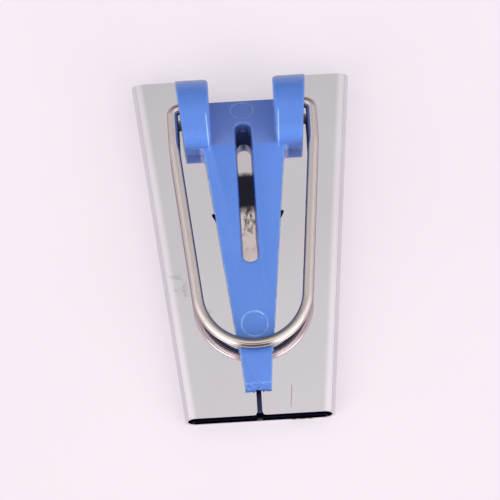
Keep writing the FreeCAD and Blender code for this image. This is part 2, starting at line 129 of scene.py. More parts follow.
def mix(tree, blend, amount, first, second):
    """Two colours mixed. amount is a number or an output, and so is each colour."""
    node = tree.nodes.new("ShaderNodeMix")
    node.data_type = "RGBA"
    node.blend_type = blend
    for socket, value in ((node.inputs[0], amount), (node.inputs[6], first),
                          (node.inputs[7], second)):
        feed(tree, socket, (*value, 1) if isinstance(value, tuple) else value)
    return node.outputs[2]


def maths(tree, operation, first, second=0.0):
    """One sum on two numbers or outputs."""
    node = tree.nodes.new("ShaderNodeMath")
    node.operation = operation
    feed(tree, node.inputs[0], first)
    feed(tree, node.inputs[1], second)
    return node.outputs[0]


def bump(tree, shader, height, depth, before=None):
    """Bump of a depth in metres, on top of an earlier one."""
    node = tree.nodes.new("ShaderNodeBump")
    node.inputs["Distance"].default_value = depth
    tree.links.new(height, node.inputs["Height"])
    if before is not None:
        tree.links.new(before, node.inputs["Normal"])
    tree.links.new(node.outputs["Normal"], shader.inputs["Normal"])
    return node.outputs["Normal"]


print("helpers ready")

# %% [markdown]
# A scratch or a stain has its own place on a piece. An image texture could hold it, but
# would need unwrapping and a picture. So the next helpers read the piece's own Y and Z,
# fade between two places, and mask a box seen from above. All of them take millimetres,
# because that is how a mark is measured on the real tool.

# %% Helpers for marks in one place
def along_and_up(tree):
    """Y and Z of the piece's own coordinates."""
    place = tree.nodes.new("ShaderNodeTexCoord")
    parts = tree.nodes.new("ShaderNodeSeparateXYZ")
    tree.links.new(place.outputs["Object"], parts.inputs[0])
    return parts.outputs["Y"], parts.outputs["Z"]


def fade(tree, source, start, end):
    """0 at one place and 1 at another, in millimetres."""
    node = tree.nodes.new("ShaderNodeMapRange")
    node.inputs["From Min"].default_value = start * MM
    node.inputs["From Max"].default_value = end * MM
    tree.links.new(source, node.inputs["Value"])
    return node.outputs["Result"]


def local_place(tree, centre, half_size, turn=0.0):
    """Object coordinates seen from above, from -1 to 1 over a box."""
    place = tree.nodes.new("ShaderNodeTexCoord")
    turned = tree.nodes.new("ShaderNodeMapping")
    turned.vector_type = "TEXTURE"
    turned.inputs["Location"].default_value = (centre[0] * MM, centre[1] * MM, 0)
    turned.inputs["Rotation"].default_value = (0, 0, turn)
    turned.inputs["Scale"].default_value = (half_size[0] * MM, half_size[1] * MM, 1)
    parts = tree.nodes.new("ShaderNodeSeparateXYZ")
    tree.links.new(place.outputs["Object"], turned.inputs["Vector"])
    tree.links.new(turned.outputs["Vector"], parts.inputs[0])
    return parts.outputs["X"], parts.outputs["Y"]


def box_mask(tree, centre, half_size, turn=0.0, soft=0.15):
    """1 inside a box seen from above, fading to 0 over a share of it at its sides."""
    shares = [ramp(tree, maths(tree, "ABSOLUTE", source), (1.0 - soft, 1.0), (1.0, 0.0))
              for source in local_place(tree, centre, half_size, turn)]
    return mix(tree, "MULTIPLY", 1.0, *shares)


print("mark helpers ready")

# %% [markdown]
# ## Plated sheet
# The shell is steel with bright nickel plating. It mirrors what is above it, a little
# softly, with faint cloudy handling marks and fine scuffs along the way the cloth runs.
# A plain metal shader would be a perfect mirror and look unreal. So the roughness is low
# but varies with a cloud pattern, and a stretched noise gives hair-thin scratches. A few
# specks of dust lie where another noise is high.

# %% Bright plating
HAIR_DEPTH = 0.0012 * MM
WAVE_DEPTH = 0.02 * MM


def bright_plating(tree, shader):
    """Gloss and relief of the plating. Returns its colour."""
    shader.inputs["Metallic"].default_value = 1.0
    clouds = pattern(tree, "Noise", Scale=45.0, Detail=3.0)
    tone = ramp(tree, clouds, (0.3, (0.69, 0.65, 0.69)), (0.7, (0.725, 0.685, 0.725)))
    handling = pattern(tree, "Noise", Scale=120.0, Detail=6.0, Roughness=0.65)
    soft = ramp(tree, handling, (0.35, 0.03), (0.75, 0.09))
    tree.links.new(soft, shader.inputs["Roughness"])
    hairs = pattern(tree, "Noise", (1, 0.03, 1), turn=0.06, Scale=2600.0, Detail=2.0)
    thin = ramp(tree, hairs, (0.60, 0.0), (0.72, 1.0))
    waves = pattern(tree, "Noise", (1, 0.5, 1), Scale=60.0, Detail=1.0)
    bump(tree, shader, waves, WAVE_DEPTH, bump(tree, shader, thin, HAIR_DEPTH))
    specks = pattern(tree, "Voronoi", Scale=420.0)
    dust = ramp(tree, specks, (0.03, 0.72), (0.07, 1.0))
    rare = pattern(tree, "Noise", Scale=160.0, Detail=1.0)
    return mix(tree, "MULTIPLY", ramp(tree, rare, (0.62, 0.0), (0.68, 1.0)), tone, dust)


print("hair scratches", HAIR_DEPTH / MM, "mm deep")

# %% [markdown]
# The slot in the guide shows the inner side of the bottom plate. It is clean near the
# entry. Next comes a black band of painted dark reflection, then a mottled stretch that
# clears towards the exit, and the exit itself is painted dark as shade, because little light
# gets in there. A ramp along the tool places all of these.

# %% Inner side of the sheet
def inner_side(tree, y):
    """Colour of the inner side. The ramps run from 0 at the exit to 1 at the entry."""
    along = fade(tree, y, -LENGTH / 2, LENGTH / 2)
    blots = pattern(tree, "Noise", (1, 0.6, 1), Scale=760.0, Detail=5.0, Roughness=0.7)
    mottled = ramp(tree, blots, (0.44, (0.04, 0.035, 0.04)), (0.50, (0.74, 0.64, 0.62)),
                   (0.62, (0.86, 0.75, 0.73)))
    dirty = ramp(tree, along, (0.50, 0.10), (0.61, 0.9))
    colour = mix(tree, "MIX", dirty, (0.78, 0.665, 0.65), mottled)
    clean = ramp(tree, along, (0.735, 0.0), (0.75, 1.0))
    colour = mix(tree, "MIX", clean, colour, (0.74, 0.69, 0.73))
    # Painted dark reflection: a black band across the plate.
    painted_dark_reflection = ramp(tree, along, (0.615, 0.0), (0.645, 1.0), (0.735, 1.0), (0.75, 0.0))
    colour = mix(tree, "MIX", painted_dark_reflection, colour, (0.022, 0.020, 0.030))
    # Painted shade: the plate turns dark towards the exit.
    painted_exit_shade = ramp(tree, along, (0.11, 0.93), (0.18, 0.0))
    return mix(tree, "MIX", painted_exit_shade, colour, (0.05, 0.045, 0.055))


print("inner side runs over", round(LENGTH, 1), "mm")

# %% [markdown]
# Three marks on the outside follow the photo: one deeper scratch by the exit slit, a dried
# damp stain on the left flange, and brown flecks on the lower lip of the exit. A box mask
# keeps each in its place. The stain's wandering line is one contour of a noise.

# %% Marks on the outside
# Each mark has its centre, its half size, its turn and the share of it that fades out.
SCRATCH = ((5.8, -29.4), (0.055, 2.2), -0.09, 0.15)
STAINS = [((-13.6, -8.6), (2.2, 4.2), 0.1, 0.8), ((-8.4, -11.6), (0.9, 2.6), 0.15, 0.8)]
LIP_FLECKS = ((7.4, -32.5), (2.4, 0.60), 0.0, 0.3)
# The flecks are on the lower lip alone, so they end between these heights.
LIP_FADE = (1.0, 0.8)


def outside_marks(tree, z, colour):
    """The sheet's colour with the marks on it."""
    colour = mix(tree, "MIX", box_mask(tree, *SCRATCH), colour, (0.26, 0.24, 0.26))
    damp = mix(tree, "LIGHTEN", 1.0, *[box_mask(tree, *stain) for stain in STAINS])
    rings = pattern(tree, "Noise", Scale=170.0, Detail=3.0)
    contour = ramp(tree, rings, (0.47, 0.0), (0.50, 1.0), (0.54, 0.15), (0.60, 0.0))
    stained = mix(tree, "MULTIPLY", 1.0, damp, contour)
    colour = mix(tree, "MIX", stained, colour, (0.40, 0.385, 0.40))
    grit = pattern(tree, "Noise", Scale=1500.0, Detail=3.0)
    flecks = ramp(tree, grit, (0.44, 0.0), (0.50, 1.0))
    lip = mix(tree, "MULTIPLY", 1.0, box_mask(tree, *LIP_FLECKS), fade(tree, z, *LIP_FADE))
    return mix(tree, "MIX", mix(tree, "MULTIPLY", 1.0, lip, flecks), colour,
               (0.11, 0.055, 0.03))


print("parts of the damp stain:", len(STAINS))

# %% [markdown]
# The finish joins the plating, the inner side and the marks. The mesh marks its inner side
# with an attribute named within, so the mottling, the painted dark reflection and the painted
# shade inside never show on the outside.

# %% Plated sheet finish
def plated_sheet():
    finish, tree, shader = new_finish("plated_sheet")
    y, z = along_and_up(tree)
    plating = bright_plating(tree, shader)
    side = tree.nodes.new("ShaderNodeAttribute")
    side.attribute_name = "within"
    sheet = mix(tree, "MIX", side.outputs["Fac"], plating, inner_side(tree, y))
    tree.links.new(outside_marks(tree, z, sheet), shader.inputs["Base Color"])
    return finish


PLATED_SHEET = plated_sheet()
print("finish:", PLATED_SHEET.name)

# %% [markdown]
# ## The folded shell
# The shell is one sheet. Its section is a flat loop: a bottom plate, a fold of one radius
# on each side, and two flanges folded inward over the top. One surface with a Solidify
# modifier could make it, but the wall would lean at the notches and the tapered ends.
# Sheet metal like this has a rule for every point, so the mesh is written directly: rows
# of points along the tool, and in each row the section from one flange edge round to the
# other. The first cell says where the cut edges of the sheet run.

# %% Where the cut edges run
SLIT_HALF = 0.45
SLIT_LENGTH = 8.0
SLIT_CORNER = 0.6
THROAT_HALF = 6.9
THROAT_PLACE = 52.0
THROAT_CORNER = 0.8
NOTCH_HALF = 6.6
NOTCH_REAR = 38.5
NOTCH_FLAT = 38.1
NOTCH_FRONT = 33.31
RECESS_DEPTH = 2.2
RECESS_HALF = 14.0
RECESS_SLANT = 2.0
# The line through the notches' roots stays this far from the flange edge, at the exit end
# and behind the notches.
LINE_GAP = 0.4
REAR_LINE_GAP = 0.5


def throat_edge(place):
    """Half of the gap between the flanges, with round corners at both of its ends."""
    if place < SLIT_CORNER:
        drop = SLIT_CORNER - place
        return SLIT_HALF + SLIT_CORNER - math.sqrt(max(SLIT_CORNER ** 2 - drop ** 2, 0))
    if place > LENGTH - THROAT_CORNER:
        drop = min(place - LENGTH + THROAT_CORNER, THROAT_CORNER)
        return THROAT_HALF + THROAT_CORNER - math.sqrt(THROAT_CORNER ** 2 - drop ** 2)
    share = (place - SLIT_LENGTH) / (THROAT_PLACE - SLIT_LENGTH)
    return SLIT_HALF + (THROAT_HALF - SLIT_HALF) * min(max(share, 0), 1)


def notch_line(place):
    """Line on the flange that the root of the notch lies on."""
    if place <= NOTCH_FRONT:
        return throat_edge(place) + LINE_GAP * (NOTCH_FRONT - place) / NOTCH_FRONT
    if place <= NOTCH_REAR:
        front = throat_edge(NOTCH_FRONT)
        rise = (min(place, NOTCH_FLAT) - NOTCH_FRONT) / (NOTCH_FLAT - NOTCH_FRONT)
        return front + (NOTCH_HALF - front) * rise
    return max(NOTCH_HALF, throat_edge(place) + REAR_LINE_GAP)


def recess_line(place):
    """Line on the bottom plate that the side of the recess lies on."""
    start = LENGTH - RECESS_DEPTH
    if place > start:
        return RECESS_HALF + RECESS_SLANT * (place - start) / RECESS_DEPTH
    share = grows(EXIT_HALF, ENTRY_HALF, place) / grows(EXIT_HALF, ENTRY_HALF, start)
    return RECESS_HALF * share


print("gap at the slit, the notch and the throat:",
      [round(2 * throat_edge(p), 2) for p in (SLIT_LENGTH / 2, NOTCH_REAR, THROAT_PLACE)])

# %% [markdown]
# A half section is a list of points from the flange edge round the fold to the middle of
# the bottom plate. It is worked out for the outside and for the inside of the sheet, and
# the two are joined along every cut edge, so the shell is closed and has its real
# thickness. A row a hair inside each flat keeps the mirror image on the flats straight.

# %% One half of the section
ARC_STEPS = 14
HAIR = 0.06


def half_section(place, inset):
    """Points (x, z) from the flange edge to the bottom middle."""
    half = grows(EXIT_HALF, ENTRY_HALF, place) - inset
    top = grows(EXIT_HEIGHT, ENTRY_HEIGHT, place) - inset
    radius = FOLD - inset
    points = [(throat_edge(place), top), (notch_line(place), top),
              (half - radius - HAIR, top)]
    for step in range(ARC_STEPS + 1):
        turn = math.pi / 2 * step / ARC_STEPS
        points.append((half - radius + radius * math.sin(turn),
                       top - radius + radius * math.cos(turn)))
    for step in range(ARC_STEPS + 1):
        turn = math.pi / 2 * step / ARC_STEPS
        points.append((half - radius + radius * math.cos(turn),
                       inset + radius - radius * math.sin(turn)))
    points.append((half - radius - HAIR, inset))
    points.append((recess_line(place), inset))
    points.append((0.0, inset))
    return points


print("points in a half section:", len(half_section(0, 0)))

# %% [markdown]
# The outside and the inside are two grids with the same rows. A face is left out where the
# sheet is cut away: in the locking notches, and in the shallow recess of the bottom plate
# at the entry. The cut edges are then walled from the outside grid to the inside one.

# %% Build the shell
CORNER_STEPS = 6
SHARP = math.radians(30)
# Points closer than this, in metres, are one point.
SAME = 1e-7
# There is a row at each place where an edge turns, and a few between them.
ROWS = [SLIT_CORNER * step / CORNER_STEPS for step in range(CORNER_STEPS + 1)]
ROWS += [3.0, SLIT_LENGTH, 16.0, 25.0, NOTCH_FRONT, NOTCH_FLAT, NOTCH_REAR, 45.0, THROAT_PLACE,
         58.0, LENGTH - RECESS_DEPTH]
ROWS += [LENGTH - THROAT_CORNER * step / CORNER_STEPS for step in range(CORNER_STEPS, -1, -1)]


def is_cut_away(place, next_place, step, steps):
    """Whether a face between two rows lies in a notch or in the recess."""
    in_notch = step == 0 and place >= NOTCH_FRONT and next_place <= NOTCH_REAR
    in_recess = step == steps - 1 and place >= LENGTH - RECESS_DEPTH
    return in_notch or in_recess


def half_sheet(mesh, side, inset):
    """Grid of one half of the sheet. Returns its faces as lists of vertices."""
    rows = [[mesh.verts.new((side * x * MM, (place - LENGTH / 2) * MM, z * MM))
             for x, z in half_section(place, inset)] for place in ROWS]
    faces = []
    for row, place in enumerate(ROWS[:-1]):
        steps = len(rows[row]) - 1
        for step in range(steps):
            if not is_cut_away(place, ROWS[row + 1], step, steps):
                faces.append([rows[row][step], rows[row][step + 1],
                              rows[row + 1][step + 1], rows[row + 1][step]])
    return rows, faces


def build_shell():
    """Both halves of the sheet, walled along every cut edge."""
    mesh = bmesh.new()
    within = mesh.loops.layers.float.new("within")
    for side in (1, -1):
        outside, faces = half_sheet(mesh, side, 0.0)
        inside, inner_faces = half_sheet(mesh, side, SHEET)
        twin = {a: b for one, two in zip(outside, inside) for a, b in zip(one, two)}
        for face in faces:
            mesh.faces.new(face)
        for face in inner_faces:
            for loop in mesh.faces.new(face).loops:
                loop[within] = 1.0
        counts = {}
        for face in faces:
            for a, b in zip(face, face[1:] + face[:1]):
                counts[frozenset((a, b))] = counts.get(frozenset((a, b)), 0) + 1
        for edge, count in counts.items():
            a, b = tuple(edge)
            if count == 1 and not (abs(a.co.x) < SAME and abs(b.co.x) < SAME):
                mesh.faces.new([a, b, twin[b], twin[a]])
    bmesh.ops.remove_doubles(mesh, verts=mesh.verts, dist=SAME)
    bmesh.ops.dissolve_degenerate(mesh, edges=mesh.edges, dist=SAME)
    bmesh.ops.recalc_face_normals(mesh, faces=mesh.faces)
    for face in mesh.faces:
        face.smooth = True
    for edge in mesh.edges:
        edge.smooth = edge.is_manifold and edge.calc_face_angle(0) < SHARP
    open_edges = sum(not edge.is_manifold for edge in mesh.edges)
    data = bpy.data.meshes.new("shell_sheet")
    mesh.to_mesh(data)
    mesh.free()
    data.materials.append(PLATED_SHEET)
    piece = bpy.data.objects.new("shell_sheet", data)
    bpy.context.scene.collection.objects.link(piece)
    print("shell faces:", len(data.polygons), "open edges:", open_edges)
    return piece


shell_sheet = build_shell()
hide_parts("metal_shell")
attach(shell_sheet, "tool")

# %% [markdown]
# ## Blue moulded plastic
# The guide is one injection moulding in a saturated mid blue with a soft gloss. Moulded
# plastic is never dead even: the colour clouds a little, and a few pale scuffs lie where
# cloth and fingers rub. Two ejector pins have left shallow round marks, and a painted
# highlight lies pale and broken along their rims.

# %% Colour of the blue plastic
# Each ejector mark has its place on the middle line, its squash along it and its radius.
MARKS = [(-16.40, 1.0, 2.35), (26.38, 1.12, 2.1)]


def ring(tree, centre, squash, radius):
    """Thin ring seen from above, round a place on the middle line, all in millimetres."""
    place = tree.nodes.new("ShaderNodeTexCoord")
    flat = tree.nodes.new("ShaderNodeMapping")
    flat.inputs["Scale"].default_value = (1 / MM, squash / MM, 0)
    flat.inputs["Location"].default_value = (0, -centre * squash, 0)
    away = tree.nodes.new("ShaderNodeVectorMath")
    away.operation = "LENGTH"
    tree.links.new(place.outputs["Object"], flat.inputs["Vector"])
    tree.links.new(flat.outputs["Vector"], away.inputs[0])
    gap = maths(tree, "SUBTRACT", away.outputs["Value"], radius)
    return ramp(tree, maths(tree, "ABSOLUTE", gap), (0.05, 1.0), (0.14, 0.0))


def blue_tone(tree, clouds, broken):
    """Clouded blue with pale scuffs, and painted highlights on the rims of the ejector marks."""
    tone = ramp(tree, clouds, (0.3, (0.092, 0.212, 0.635)), (0.7, (0.106, 0.230, 0.675)))
    specks = pattern(tree, "Voronoi", Scale=520.0)
    dots = ramp(tree, specks, (0.05, 0.5), (0.10, 0.0))
    few = pattern(tree, "Noise", Scale=150.0, Detail=1.0)
    pale_scuffs_and_rim_highlights = mix(tree, "MULTIPLY", 1.0, dots, ramp(tree, few, (0.58, 0.0), (0.66, 1.0)))
    for mark in MARKS:
        # Painted highlight: the rims of the ejector marks are pale, and broken by noise.
        painted_rim_highlight = mix(tree, "MULTIPLY", 1.0, ring(tree, *mark), broken)
        pale_scuffs_and_rim_highlights = mix(tree, "LIGHTEN", 1.0, pale_scuffs_and_rim_highlights, painted_rim_highlight)
    return mix(tree, "MIX", pale_scuffs_and_rim_highlights, tone, (0.34, 0.50, 0.92))


print("ejector marks:", len(MARKS))

# %% [markdown]
# A mould leaves a tiny round on every edge, and a painted highlight makes that round pale.
# A Bevel modifier would cut real faces, but the solid's long thin triangles leave it no room
# at the ears. So a Bevel node finds the edges: it gives the rounded normal, and where that
# differs from the true one there is an edge, which gets the painted highlight.

# %% Edges of the moulding
EDGE_ROUND = 0.36


def moulded_edges(tree):
    """Normal with rounded edges, and a mask that is 1 on the edges."""
    rounded = tree.nodes.new("ShaderNodeBevel")
    rounded.samples = 6
    rounded.inputs["Radius"].default_value = EDGE_ROUND * MM
    true_form = tree.nodes.new("ShaderNodeNewGeometry")
    agree = tree.nodes.new("ShaderNodeVectorMath")
    agree.operation = "DOT_PRODUCT"
    tree.links.new(rounded.outputs["Normal"], agree.inputs[0])
    tree.links.new(true_form.outputs["Normal"], agree.inputs[1])
    edge = ramp(tree, agree.outputs["Value"], (0.93, 1.0), (0.994, 0.0))
    return rounded.outputs["Normal"], edge


print("edges look rounded by", EDGE_ROUND, "mm")

# %% [markdown]
# Three places carry painted light. Painted shade makes the ramp between the ears darker and
# greyer, and darkens the plate inside the exit. A painted highlight lies as a pale line along
# the inner edge of each ear.

# %% Painted shade on the ramp and the plate, and painted highlights on the ears
# Each fade starts at the first place and is full at the second.
RAMP_SHADE_ALONG, RAMP_SHADE_HEIGHT = (17.6, 18.6), (10.4, 9.6)
PLATE_SHADE_ALONG, PLATE_SHADE_HEIGHT = (-22.0, -25.0), (4.3, 3.9)
# The rest of the painted shade lies thinly all along the plate.
PLATE_SHADE_AT_EXIT = 0.85
# Place, half size and turn of the painted highlight line on the right ear. The left ear's
# line mirrors it.
EAR_HIGHLIGHT, EAR_HIGHLIGHT_HALF, EAR_HIGHLIGHT_TURN = (6.55, 20.3), (0.10, 3.3), 0.045
EAR_HIGHLIGHT_FADE = 0.30
EAR_HIGHLIGHT_STRENGTH = 0.75


def paint_shade_and_highlights(tree, clouds, colour):
    """The plastic's colour with painted shade on the ramp and plate, and painted ear highlights.
    """
    y, z = along_and_up(tree)
    # Painted shade: the ramp between the ears is darker and greyer, unevenly.
    painted_ramp_shade = mix(tree, "MULTIPLY", 1.0, fade(tree, z, *RAMP_SHADE_HEIGHT), fade(tree, y, *RAMP_SHADE_ALONG))
    painted_ramp_shade = mix(tree, "MULTIPLY", 1.0, painted_ramp_shade, ramp(tree, clouds, (0.3, 0.45), (0.7, 0.7)))
    colour = mix(tree, "MIX", painted_ramp_shade, colour, (0.165, 0.225, 0.50))
    # Painted shade: the plate inside the exit is darkened.
    painted_plate_shade = mix(tree, "MULTIPLY", PLATE_SHADE_AT_EXIT, fade(tree, z, *PLATE_SHADE_HEIGHT),
                fade(tree, y, *PLATE_SHADE_ALONG))
    colour = mix(tree, "MIX", painted_plate_shade, colour, (0.02, 0.035, 0.13))
    # Painted highlight: a pale line along the inner edge of each ear.
    for side in (-1, 1):
        line = box_mask(tree, (side * EAR_HIGHLIGHT[0], EAR_HIGHLIGHT[1]), EAR_HIGHLIGHT_HALF,
                        -side * EAR_HIGHLIGHT_TURN, EAR_HIGHLIGHT_FADE)
        line = maths(tree, "MULTIPLY", line, EAR_HIGHLIGHT_STRENGTH)
        colour = mix(tree, "MIX", line, colour, (0.50, 0.70, 1.0))
    return colour


print("film on the ramp from", RAMP_SHADE_ALONG[0], "mm")

# %% [markdown]
# The finish puts these together. The gloss is soft and uneven, and a fine ripple from the
# mould lies on top of the rounded normal.

# %% Blue plastic finish
RIPPLE_DEPTH = 0.02 * MM


def moulded_blue():
    finish, tree, shader = new_finish("moulded_blue")
    shader.inputs["IOR"].default_value = 1.49
    shader.inputs["Specular IOR Level"].default_value = 0.35
    clouds = pattern(tree, "Noise", Scale=90.0, Detail=4.0)
    broken = ramp(tree, pattern(tree, "Noise", Scale=700.0, Detail=1.0), (0.35, 0.25),
                  (0.6, 0.8))
    normal, edge = moulded_edges(tree)
    # Painted highlight: every edge, hollow ones too, is made paler.
    painted_edge_highlight = mix(tree, "MULTIPLY", 1.0, edge, broken)
    colour = mix(tree, "MIX", painted_edge_highlight, blue_tone(tree, clouds, broken),
                 (0.33, 0.54, 0.97))
    tree.links.new(paint_shade_and_highlights(tree, clouds, colour), shader.inputs["Base Color"])
    rub = pattern(tree, "Noise", (1, 0.6, 1), Scale=220.0, Detail=5.0, Roughness=0.6)
    soft = ramp(tree, rub, (0.35, 0.20), (0.75, 0.34))
    tree.links.new(soft, shader.inputs["Roughness"])
    ripple = pattern(tree, "Noise", Scale=260.0, Detail=3.0)
    bump(tree, shader, ripple, RIPPLE_DEPTH, normal)
    return finish


MOULDED_BLUE = moulded_blue()
print("finish:", MOULDED_BLUE.name)

# %% [markdown]
# ## The folding guide
# The solid model already has the guide's real form: tongue, ears, ramp, slot and the
# plate inside the shell. It could be modelled again with boxes and booleans, but that would
# only be less exact. So the piece is a merged copy of the solid's mesh with its flat faces
# joined up again. Only the end of the tongue needs work. The moulding was snapped off its
# runner there, so that one small face is divided into a grid, and noise pushes the grid
# about until it looks broken.

# %% Merge a copy of the guide and break its gate
GATE_STEPS = 15
GATE_DEPTH = 0.36
# The break leaves the foot of the small face alone, and lifts only the points at its top.
GATE_FOOT, GATE_TOP = 0.06, 0.94
# Its top stands out by this share of the depth.
GATE_LEAN = 0.5
# Density of the noises, one for each size of lump, in lumps a millimetre.
LUMPS, GRAINS, CRUMBS, RIM = 1.7, 4.1, 6.3, 2.3
GRAIN_STRENGTH = 0.6
# The normal of an end face points at least this far towards the exit.
ENDWARD = -0.8
FLATNESS = math.radians(0.4)
GUIDE_SHARP = math.radians(28)
WELD = 2e-6


def break_gate(mesh):
    """Roughen the end of the tongue's tip, where the moulding was snapped off its runner."""
    ends = [face for face in mesh.faces if face.normal.y < ENDWARD
            and face.calc_center_median().z > EXIT_HEIGHT * MM]
    tip = min(ends, key=lambda face: face.calc_center_median().y)
    top = max(vertex.co.z for vertex in tip.verts)
    foot = min(vertex.co.z for vertex in tip.verts)
    cut = bmesh.ops.subdivide_edges(mesh, edges=tip.edges, cuts=GATE_STEPS, use_grid_fill=True)
    inner = {v for v in cut["geom_inner"] if isinstance(v, bmesh.types.BMVert)}
    edge = {v for v in cut["geom_split"] if isinstance(v, bmesh.types.BMVert)}
    for vertex in inner | edge:
        share = (vertex.co.z - foot) / (top - foot)
        if share < GATE_FOOT:
            continue
        spot = vertex.co / MM
        push = (noise.noise(spot * LUMPS) + GRAIN_STRENGTH * noise.noise(spot * GRAINS)
                + noise.noise(spot * CRUMBS))
        vertex.co.y += (push - GATE_LEAN * share) * GATE_DEPTH * MM
        if share > GATE_TOP:
            vertex.co.z += noise.noise(spot * RIM) * GATE_DEPTH * MM


def guide_copy():
    """The solid's mesh, merged, with its flats joined up and its gate broken."""
    mesh = bmesh.new()
    mesh.from_mesh(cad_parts["folding_guide"].data)
    bmesh.ops.remove_doubles(mesh, verts=mesh.verts, dist=WELD)
    bmesh.ops.dissolve_limit(mesh, angle_limit=FLATNESS, verts=mesh.verts, edges=mesh.edges)
    break_gate(mesh)
    for face in mesh.faces:
        face.smooth = True
    for edge in mesh.edges:
        edge.smooth = edge.is_manifold and edge.calc_face_angle(0) < GUIDE_SHARP
    data = bpy.data.meshes.new("guide_moulding")
    mesh.to_mesh(data)
    mesh.free()
    data.materials.append(MOULDED_BLUE)
    piece = bpy.data.objects.new("guide_moulding", data)
    bpy.context.scene.collection.objects.link(piece)
    print("guide faces after joining the flats:", len(data.polygons))
    return piece


guide = guide_copy()
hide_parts("folding_guide")
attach(guide, "tool")

# %% [markdown]
# ## Plated wire
# The handle is spring wire with the same nickel, a little warmer in tone and darker where
# it is seen at a flat angle, which the shader's tint at its edges gives. Drawing the wire
# through a die leaves fine lines along it, so its pattern runs on a place that the mesh
# itself carries: where on the round section, and how far along the wire, in millimetres.
# The side that faces the tongue is painted darker as shade, and the same attribute tells
# which side that is.

# %% Wire finish
# Direction on the round section that faces the tongue.
INWARD = (0.8, 0.6, 0.0)
# The lines are ten times as long as they are wide.
LINES = (1.4, 1.4, 0.14)
LINE_DEPTH = 0.0015 * MM


def plated_wire():
    finish, tree, shader = new_finish("plated_wire")
    shader.inputs["Metallic"].default_value = 1.0
    shader.inputs["Specular Tint"].default_value = (0.40, 0.38, 0.42, 1.0)
    place = tree.nodes.new("ShaderNodeAttribute")
    place.attribute_name = "wire_place"
    stretch = tree.nodes.new("ShaderNodeMapping")
    stretch.inputs["Scale"].default_value = LINES
    drawn = tree.nodes.new("ShaderNodeTexNoise")
    drawn.inputs["Scale"].default_value = 6.0
    drawn.inputs["Detail"].default_value = 3.0
    tree.links.new(place.outputs["Vector"], stretch.inputs["Vector"])
    tree.links.new(stretch.outputs["Vector"], drawn.inputs["Vector"])
    lines = drawn.outputs["Fac"]
    tone = ramp(tree, lines, (0.35, (0.56, 0.49, 0.47)), (0.65, (0.62, 0.545, 0.53)))
    facing = tree.nodes.new("ShaderNodeVectorMath")
    facing.operation = "DOT_PRODUCT"
    facing.inputs[1].default_value = INWARD
    tree.links.new(place.outputs["Vector"], facing.inputs[0])
    # Painted shade: the side of the wire that faces the tongue is darker.
    painted_inner_shade = ramp(tree, facing.outputs["Value"], (0.28, 0.0), (0.50, 0.85))
    colour = mix(tree, "MIX", painted_inner_shade, tone, (0.20, 0.172, 0.165))
    tree.links.new(colour, shader.inputs["Base Color"])
    soft = ramp(tree, lines, (0.3, 0.04), (0.7, 0.10))
    tree.links.new(soft, shader.inputs["Roughness"])
    bump(tree, shader, lines, LINE_DEPTH)
    return finish


PLATED_WIRE = plated_wire()
print("finish:", PLATED_WIRE.name)

# %% [markdown]
# ## The route of the wire
# A bent wire is a path with a round section. A curve's own bevel could make it, but every
# bend here has another radius, and the finish has to know its place along the wire. So the
# curve only carries the route: one point for each bend, whose radius says how round that
# bend is. The bail lies in the plane of the flanges, which rise towards the entry, so a
# helper seats a flat drawing on them.

# %% Route of the bail
WIRE = 2.0
PIVOT_PLACE = 57.9
PIVOT_HEIGHT = 4.05
# From the middle of the tool to the end of a pin, and to the middle of a leg's wire.
PIN_END = 8.2
LEG = 12.806
BEND = 1.2
KNEE_PLACE = 51.0
KNEE = 12.0
BOW = 10.0
# From the pivots to the middle of the wire at the front of the bow.
REACH = 45.9
BOW_PLACE = PIVOT_PLACE - REACH + BOW
# The last corner is rounded by this much less than the bow, so that its arc fits its legs.
CORNER_ROOM = 0.01


def on_flange(x, place, height):
    """Point in the frame, in metres, for a place along the flanges and a height on them."""
    return Vector((x, -LENGTH / 2 + place * math.cos(TILT) - height * math.sin(TILT),
                   EXIT_HEIGHT + place * math.sin(TILT) + height * math.cos(TILT))) * MM


# The straight part of a leg touches the bow's circle and the knee's, so it leans a little.
run = KNEE_PLACE - BOW_PLACE
lean = math.atan2(run, LEG - KNEE) - math.acos((BOW - KNEE) / math.hypot(LEG - KNEE, run))
offset = BOW + math.sin(lean) * BOW_PLACE
front = BOW_PLACE - BOW
knee_corner = (LEG, (math.cos(lean) * LEG - offset) / -math.sin(lean))
front_corner = ((offset - math.sin(lean) * front) / math.cos(lean), front)
right = [(PIN_END, PIVOT_PLACE, 0.0), (LEG, PIVOT_PLACE, BEND), (*knee_corner, KNEE),
         (*front_corner, BOW - CORNER_ROOM)]
left = [(-x, place, bend) for x, place, bend in reversed(right)]

route = bpy.data.curves.new("bail_wire", "CURVE")
route.dimensions = "3D"
line = route.splines.new("POLY")
line.points.add(len(right + left) - 1)
for point, (x, place, bend) in zip(line.points, right + left):
    point.co = (*on_flange(x, place, PIVOT_HEIGHT), 1)
    point.radius = bend
bail = bpy.data.objects.new("bail_wire", route)
bpy.context.scene.collection.objects.link(bail)
print("legs lean", round(math.degrees(-lean), 2), "degrees; bends:", len(right + left) - 2)

# %% [markdown]
# Geometry Nodes turn the route into wire: they round each corner by its own radius, sweep
# a circle along the path, and keep the place along and round the wire for the finish. The
# tree starts with its named inputs, and two helpers add its nodes.

# %% Inputs and helpers of the wire tree
def wire_tree():
    tree = bpy.data.node_groups.new("bend_wire", "GeometryNodeTree")
    tree.interface.new_socket("Geometry", in_out="INPUT", socket_type="NodeSocketGeometry")
    for name, kind, value in (("Wire diameter", "Float", WIRE * MM), ("Bend unit", "Float", MM),
                              ("Steps round", "Int", 40), ("Steps in a bend", "Int", 40)):
        socket = tree.interface.new_socket(name, in_out="INPUT", socket_type="NodeSocket" + kind)
        socket.default_value = value
    tree.interface.new_socket("Geometry", in_out="OUTPUT", socket_type="NodeSocketGeometry")
    return tree


